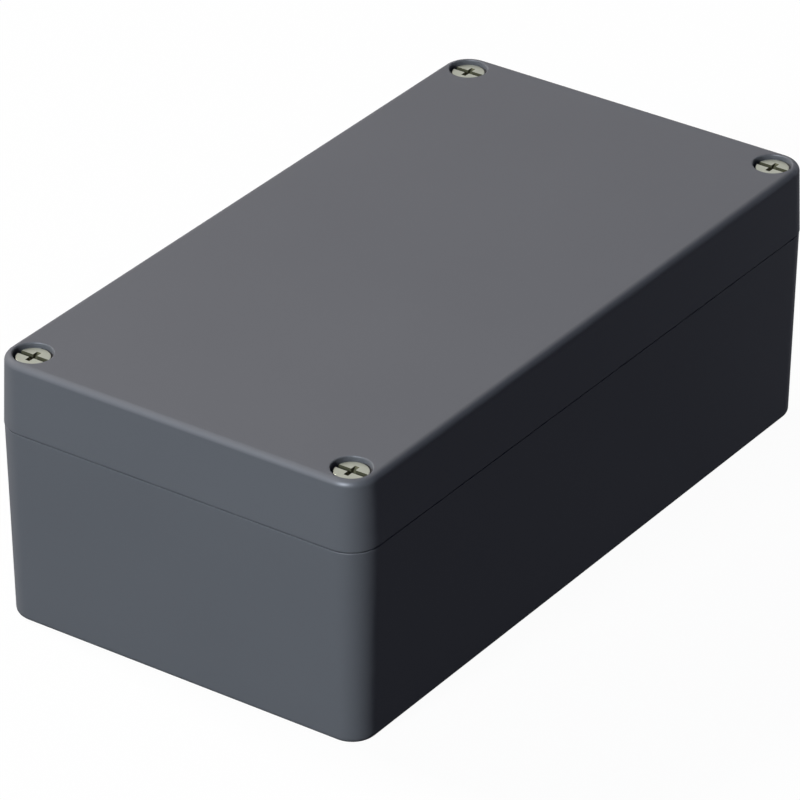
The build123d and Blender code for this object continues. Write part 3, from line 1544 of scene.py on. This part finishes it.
@dataclass
class EarthTerminal:
    """The earth screw with its split washer and lipped clamp plate."""

    clamp_corner: float = 0.8
    clamp_bore: float = 3.2
    lip_width: float = 1.0
    head_rim: float = 0.3
    head_height: float = 3.4
    neck_radius: float = 2.95
    neck_below: float = 0.5
    split: float = 0.19
    washer_edge: float = 0.2
    washer_steps: int = 60
    plate_lift: float = 1.0
    clamp_edge: float = 0.3
    bore_edge: float = 0.25
    lip_corner: float = 0.3
    lip_edge: float = 0.12
    lip_overlap: float = 0.2

    def build(self, finishes: Finishes) -> None:
        """Builds the terminal and puts it in the scene.

        Args:
            finishes: the box's materials.
        """
        clamp, lock = Span.of("earth_clamp"), Span.of("earth_lock_washer")
        screw = Span.of("earth_screw")
        at = tuple(clamp.centre.xy)
        neck_end = lock.low.z - self.neck_below
        radius = (clamp.high.y - clamp.low.y) / 2 - self.head_rim
        made = Screw(
            radius, self.head_height, screw.high.z, self.neck_radius, neck_end, screw.low.z
        ).mesh("earth_screw")
        pieces = {
            "earth_screw": made,
            "earth_lock_washer": self._washer(lock),
            "earth_clamp": self._clamp(clamp),
        }
        # The second slot paints shade into the earth screw's recess.
        for node, data in pieces.items():
            place(node, data, "base", node, [finishes.zinc, finishes.recess], at)

    def _washer(self, box: Span) -> bpy.types.Mesh:
        """Builds the split washer about its own axis.

        Args:
            box: the box of its CAD node.

        Returns:
            The mesh, with the gap towards +X.
        """
        outer = (box.high.y - box.low.y) / 2
        section = ring_section(self.clamp_bore, outer, box, self.washer_edge, 2)
        shell = Shell()
        rings = []
        for k in range(self.washer_steps + 1):
            angle = self.split / 2 + (2 * math.pi - self.split) * k / self.washer_steps
            around = [(r * math.cos(angle), r * math.sin(angle)) for r, _ in section]
            rings.append(shell.ring(around, [height for _, height in section]))
        shell.wall(rings)
        shell.mesh.faces.new(rings[0])
        shell.mesh.faces.new(rings[-1])
        return shell.data("earth_lock_washer")

    def _clamp(self, box: Span) -> bpy.types.Mesh:
        """Builds the clamp plate about its own axis.

        Args:
            box: the box of its CAD node.

        Returns:
            The mesh, with lips along its front and back edges.
        """
        half_x = (box.high.x - box.low.x) / 2
        half_y = (box.high.y - box.low.y) / 2
        plate = box.low.z + self.plate_lift
        shell = Shell()
        inner_y = half_y - self.lip_width
        outline = Slab(half_x, half_y, self.clamp_corner, steps=5)
        top = rounded([(0, plate), (0, box.high.z, self.clamp_edge), (-2, box.high.z)], 3)[:-1]
        low, high = shell.loft(outline.grown, top)
        rim, foot = shell.loft(
            Disc(steps=HOLE_STEPS).grown,
            rounded(
                [
                    (self.clamp_bore + 1, box.high.z),
                    (self.clamp_bore, box.high.z, self.bore_edge),
                    (self.clamp_bore, plate),
                ],
                3,
            )[1:],
        )
        shell.flat(high, rim)
        shell.flat(low, foot)
        for side in (-1, 1):
            lip = Slab(
                half_x,
                self.lip_width / 2,
                self.lip_corner,
                y=side * (inner_y + self.lip_width / 2),
                steps=4,
            )
            side_walls = [
                (-self.lip_corner, box.low.z),
                (0, box.low.z, self.lip_edge),
                (0, plate + self.lip_overlap),
            ]
            for end in shell.loft(lip.grown, rounded(side_walls, 2)[1:]):
                shell.flat(end)
        return shell.data("earth_clamp")


# The studio


@dataclass(frozen=True)
class Softbox:
    """A square lamp that faces the box, or one that adds only the coat's sheen."""

    name: str
    towards: tuple[float, float, float]
    distance: float
    level: float
    colour: Colour
    size: float
    sheen_only: bool = False

    def light(self, aim: Vector, coated: bpy.types.Collection) -> None:
        """Puts the lamp in the scene. At level 1 a surface that faces it shows its colour.

        Args:
            aim: the point that the lamp faces.
            coated: the pieces whose coat takes a sheen.
        """
        reach = self.distance * MM
        lamp = bpy.data.lights.new(self.name, "AREA")
        lamp.size = self.size * MM
        lamp.energy = self.level * math.pi**2 * reach**2
        lamp.color = self.colour
        holder = show(bpy.data.objects.new(self.name, lamp))
        back = Vector(self.towards).normalized()
        holder.location = aim * MM + back * reach
        holder.rotation_mode = "QUATERNION"
        holder.rotation_quaternion = back.to_track_quat("Z", "Y")
        holder.visible_camera = False
        if self.sheen_only:
            holder.visible_diffuse = False
            holder.light_linking.receiver_collection = coated


@dataclass(frozen=True)
class Studio:
    """A pale floor, plain soft light and the camera at the photograph's place."""

    azimuth: float = -55.0
    elevation: float = 30.0
    distance: float = 1600.0
    lens: float = 261.8
    aim_height: float = 40.0
    shift_right: float = -3.69
    shift_up: float = -4.62
    floor_half: float = 6000.0
    floor_drop: float = 0.05
    floor_glow: float = 0.965
    floor_dark: Colour = (0.04, 0.04, 0.042)
    floor_pale: Colour = (0.9, 0.9, 0.9)
    dusk: Colour = (0.006, 0.010, 0.043)
    lamps: tuple[Softbox, ...] = (
        Softbox("left_light", (-0.875, 0.05, 0.477), 2400, 0.72, (0.835, 0.925, 0.98), 350),
        Softbox("left_sheen", (-0.851, -0.10, 0.515), 2400, 7.0, (0.9, 0.95, 1.0), 600, True),
        Softbox("rear_light", (0.0, 0.6, 0.5), 3000, 0.925, (1.0, 0.935, 0.875), 600),
        Softbox("right_light", (1.0, 0.05, 0.04), 3000, 0.30, (1.0, 1.0, 1.0), 400),
        Softbox("front_light", (0.93, -0.34, 0.10), 450, 0.135, (0.9, 0.95, 1.0), 220),
    )

    def build(self, castings: Sequence[bpy.types.Object]) -> None:
        """Builds the floor, the light and the camera.

        Args:
            castings: the pieces with the powder coat.
        """
        self._floor()
        self._world()
        coated = bpy.data.collections.new("coated")
        for casting in castings:
            coated.objects.link(casting)
        for lamp in self.lamps:
            lamp.light(Vector((0, 0, self.aim_height)), coated)
        self._camera()
        bpy.context.scene.view_settings.view_transform = "Standard"

    def _seen(self, tree: bpy.types.NodeTree) -> bpy.types.NodeSocket:
        """Adds the test for rays that show a background: seen, mirrored or through glass.

        Args:
            tree: a material's or the world's node tree.

        Returns:
            A socket that is 1 for those rays.
        """
        path = add_node(tree, "LightPath")
        total = path.outputs["Is Camera Ray"]
        for other in ("Is Glossy Ray", "Is Transmission Ray"):
            larger = add_node(tree, "Math", operation="MAXIMUM")
            tree.links.new(total, larger.inputs[0])
            tree.links.new(path.outputs[other], larger.inputs[1])
            total = larger.outputs[0]
        return total

    def _floor(self) -> None:
        """Builds the floor, which shows white with the box's shadow on it."""
        shell = Shell()
        outline = Slab(self.floor_half, self.floor_half, 10, steps=2).grown(0)
        shell.flat(shell.ring(outline, -self.floor_drop))
        data = shell.data("floor")
        material = bpy.data.materials.new("pale_floor")
        material.use_nodes = True
        tree = material.node_tree
        tree.nodes.clear()
        seen = self._seen(tree)
        tone = add_node(tree, "Mix", data_type="RGBA")
        tone.inputs[6].default_value = (*self.floor_dark, 1)
        tone.inputs[7].default_value = (*self.floor_pale, 1)
        matt = add_node(tree, "BsdfDiffuse")
        glow = add_node(tree, "Emission")
        share = add_node(tree, "Math", operation="MULTIPLY")
        share.inputs[1].default_value = self.floor_glow
        mix = add_node(tree, "MixShader")
        end = add_node(tree, "OutputMaterial")
        for source, target in (
            (seen, tone.inputs[0]),
            (tone.outputs[2], matt.inputs["Color"]),
            (seen, share.inputs[0]),
            (share.outputs[0], mix.inputs[0]),
            (matt.outputs[0], mix.inputs[1]),
            (glow.outputs[0], mix.inputs[2]),
            (mix.outputs[0], end.inputs["Surface"]),
        ):
            tree.links.new(source, target)
        data.materials.append(material)
        show(bpy.data.objects.new("floor", data))

    def _world(self) -> None:
        """Sets a world that shows white and lights the shaded sides a little."""
        world = bpy.data.worlds.new("studio")
        world.use_nodes = True
        bpy.context.scene.world = world
        tree = world.node_tree
        background = tree.nodes["Background"]
        tone = add_node(tree, "Mix", data_type="RGBA")
        tone.inputs[6].default_value = (*self.dusk, 1)
        tone.inputs[7].default_value = (1, 1, 1, 1)
        tree.links.new(self._seen(tree), tone.inputs[0])
        tree.links.new(tone.outputs[2], background.inputs["Color"])

    def _camera(self) -> None:
        """Sets the camera."""
        turn, rise = math.radians(self.azimuth), math.radians(self.elevation)
        back = Vector(
            (math.sin(turn) * math.cos(rise), -math.cos(turn) * math.cos(rise), math.sin(rise))
        )
        right = Vector((math.cos(turn), math.sin(turn), 0))
        up = back.cross(right)
        data = bpy.data.cameras.new("camera")
        data.lens = self.lens
        data.sensor_width = 36
        data.clip_end = 100
        camera = show(bpy.data.objects.new("camera", data))
        centre = Vector((0, 0, self.aim_height))
        spot = centre + back * self.distance + right * self.shift_right + up * self.shift_up
        camera.location = spot * MM
        camera.rotation_mode = "QUATERNION"
        camera.rotation_quaternion = back.to_track_quat("Z", "Y")
        bpy.context.scene.camera = camera


def main() -> None:
    """Builds every sub-assembly of the box and the studio round it."""
    logging.basicConfig(level=logging.INFO, format="%(name)s: %(message)s")
    finishes = Finishes()
    castings = [BaseCasting().build(finishes), LidCasting().build(finishes)]
    Gasket().build(finishes)
    LidScrews().build(finishes)
    EarthTerminal().build(finishes)
    Studio().build(castings)


if __name__ == "__main__":
    main()
